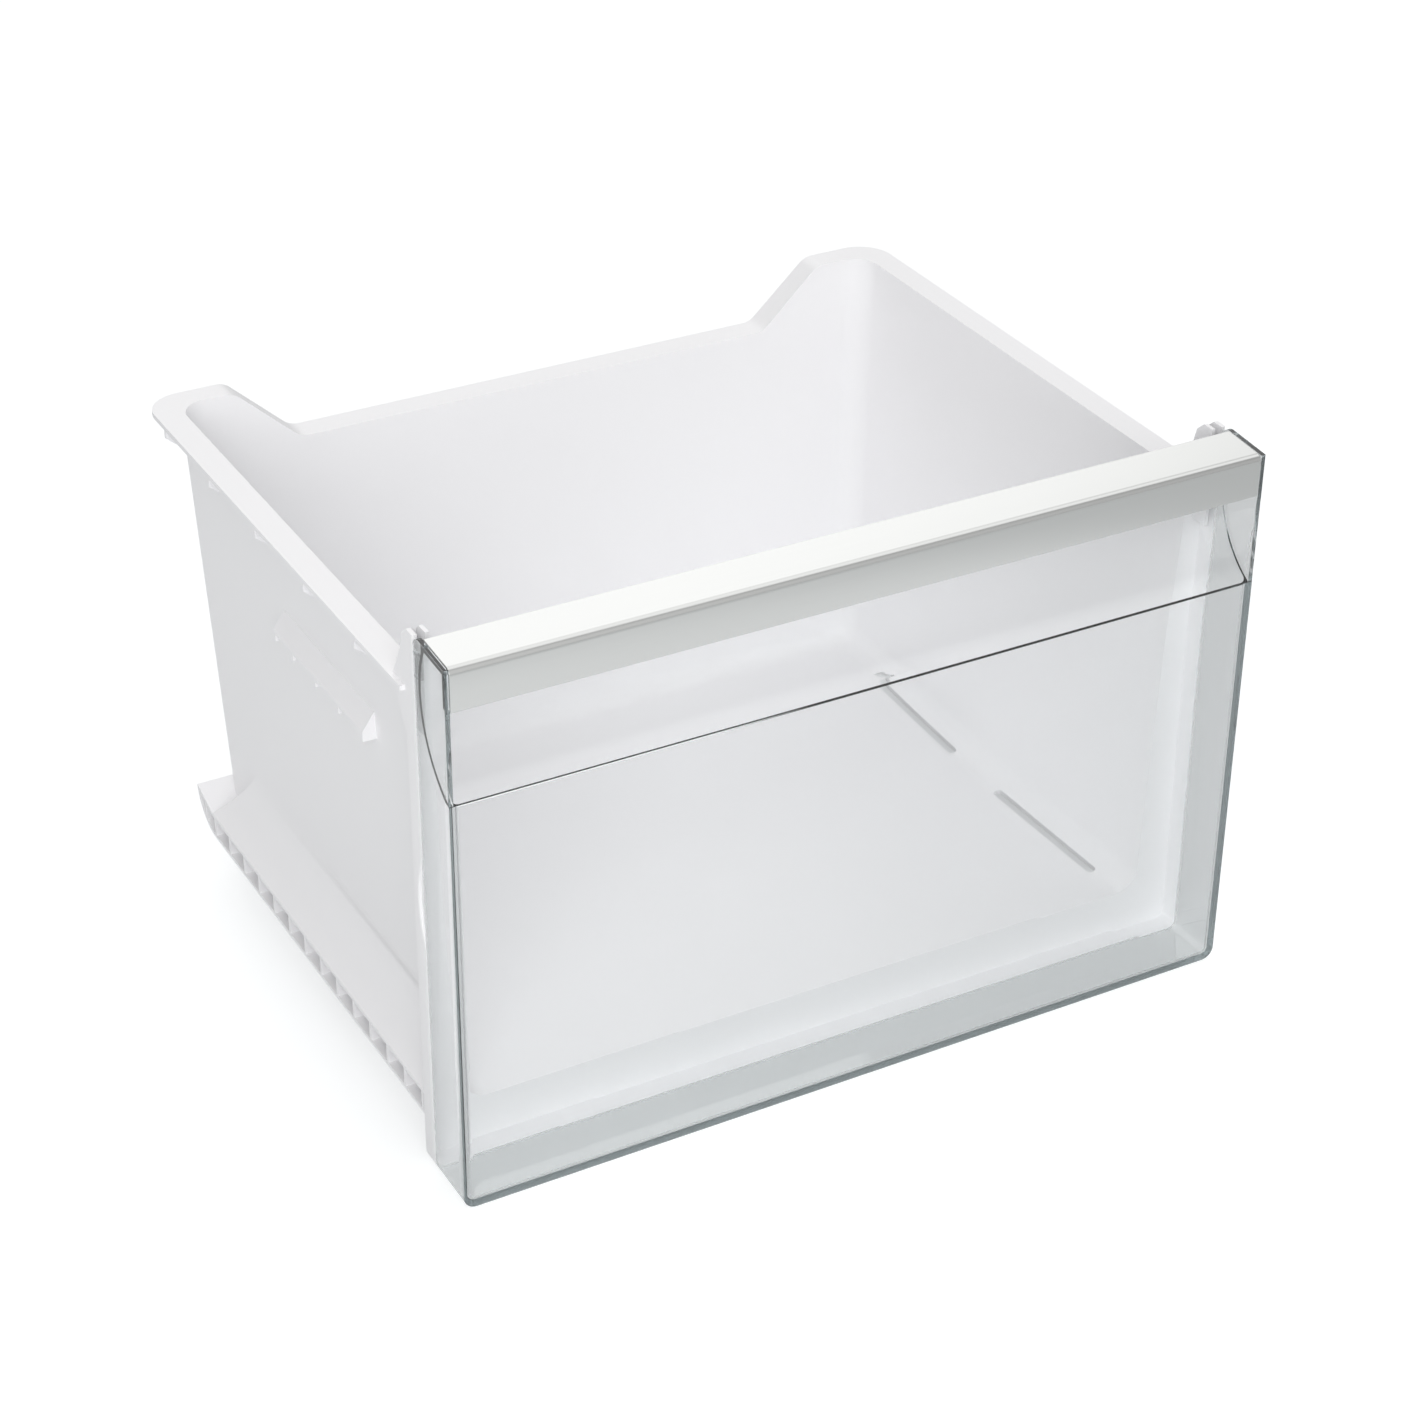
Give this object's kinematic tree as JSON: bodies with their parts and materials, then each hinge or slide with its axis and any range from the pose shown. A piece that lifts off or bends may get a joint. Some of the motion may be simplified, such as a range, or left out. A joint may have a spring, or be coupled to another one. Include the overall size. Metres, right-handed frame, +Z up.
{
  "type": "freezer drawer",
  "caption": "Freezer drawer: a white moulded tub with a dipped rim and ribbed runners, a clear tinted front panel with an arched finger recess, and a silver handle trim.",
  "frame": {"origin": "middle of the drawer's width and depth, at the level of the front panel's lower edge", "axes": "+Z up, +X to the right of someone facing the front panel, +Y from the front panel to the rear wall"},
  "size_m": [0.46, 0.3836, 0.312],
  "materials": {
    "body": "satin white",
    "panel": "clear with a faint blue-green tint",
    "trim": "satin silver"
  },
  "bodies": {
    "root": {"drawer_body": "body", "front_panel": "panel", "handle_trim": "trim"}
  },
  "joints": []
}
